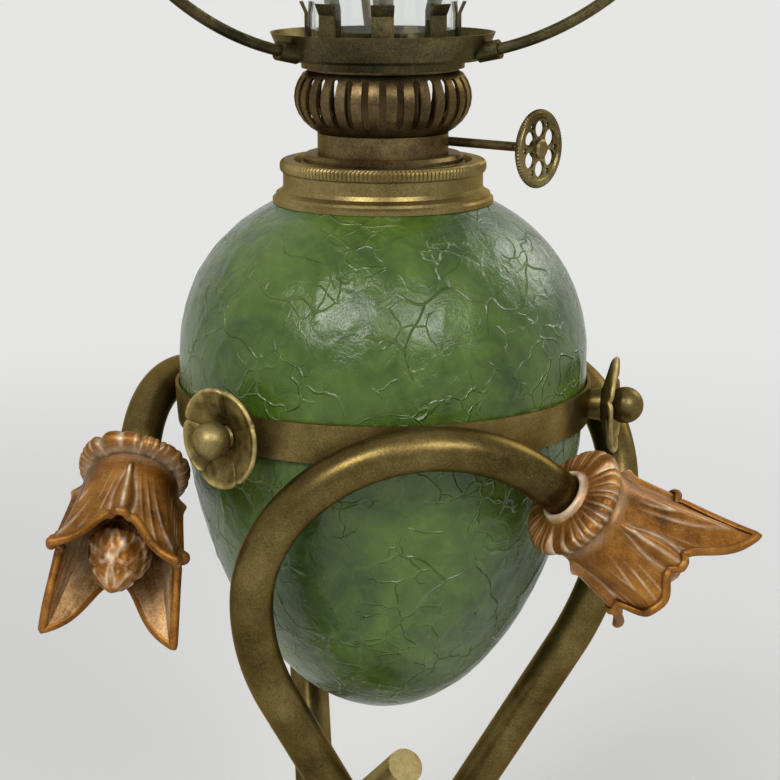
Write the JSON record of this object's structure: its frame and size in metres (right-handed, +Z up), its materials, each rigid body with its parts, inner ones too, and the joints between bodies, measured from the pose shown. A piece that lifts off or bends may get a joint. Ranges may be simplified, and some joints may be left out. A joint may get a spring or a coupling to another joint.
{
  "type": "argand lamp",
  "caption": "Oil table lamp with a green glass font on bent brass stalks that end in hanging flowers, a round-wick draught burner with a side winder, a chimney and a shade holder.",
  "frame": {"origin": "on the lamp's axis at table height", "axes": "+Z up along the lamp's axis, -Y towards the front of the picture, +X to its right"},
  "size_m": [0.265, 0.2747, 0.659],
  "materials": {
    "green_glass": "gloss, crackled",
    "clear_glass": "gloss",
    "wick_cotton": "woven",
    "flower_brass": "aged, rubbed",
    "pale_brass": "satin",
    "dark_brass": "dark patina",
    "old_brass": "aged satin"
  },
  "bodies": {
    "lamp": {"glass_font": "green_glass", "font_collar": "old_brass", "screw_ring": "dark_brass", "burner_base": "dark_brass", "burner_basket": "dark_brass", "outer_wick_tube": "old_brass", "draught_tube": "old_brass", "winder_sleeve": "pale_brass", "gallery": "dark_brass", "shade_cup": "dark_brass", "shade_arm_left": "dark_brass", "shade_arm_right": "dark_brass", "shade_arm_back": "dark_brass", "shade_ring": "dark_brass", "font_band": "old_brass", "band_bosses": "old_brass", "rosette_front": "old_brass", "rosette_right": "old_brass", "rosette_back": "old_brass", "ball_screw_front": "pale_brass", "ball_screw_right": "pale_brass", "ball_screw_back": "pale_brass", "stalk_front": "old_brass", "stalk_right": "old_brass", "stalk_left": "old_brass", "foot_front": "old_brass", "foot_right": "old_brass", "foot_left": "old_brass", "stay": "pale_brass", "stalk_tie": "old_brass", "calyx_front": "flower_brass", "calyx_right": "flower_brass", "calyx_left": "flower_brass", "flower_front": "flower_brass", "flower_right": "flower_brass", "flower_left": "flower_brass", "bud_front": "flower_brass", "bud_right": "flower_brass", "bud_left": "flower_brass"},
    "winder": {"winder_shaft": "pale_brass", "winder_pinion": "pale_brass", "winder_wheel": "pale_brass"},
    "wick": {"wick": "wick_cotton", "wick_carrier": "old_brass"},
    "chimney": {"chimney": "clear_glass"}
  },
  "joints": [
    {"name": "winder_turn", "type": "hinge", "parent": "lamp", "child": "winder", "pos_m": [0.01021, 0.01307, 0.38145], "axis": [-0.788, 0.6157, 0], "range_deg": [0, 188]},
    {"name": "wick_lift", "type": "slide", "parent": "lamp", "child": "wick", "axis": [0, 0, 1], "range_m": [0, 0.0099]},
    {"name": "chimney_lift", "type": "slide", "parent": "lamp", "child": "chimney", "axis": [0, 0, 1], "range_m": [0, 0.04]}
  ],
  "couplings": [
    {"joint": "wick_lift", "follows": "winder_turn", "m_per_rad": 0.003}
  ]
}
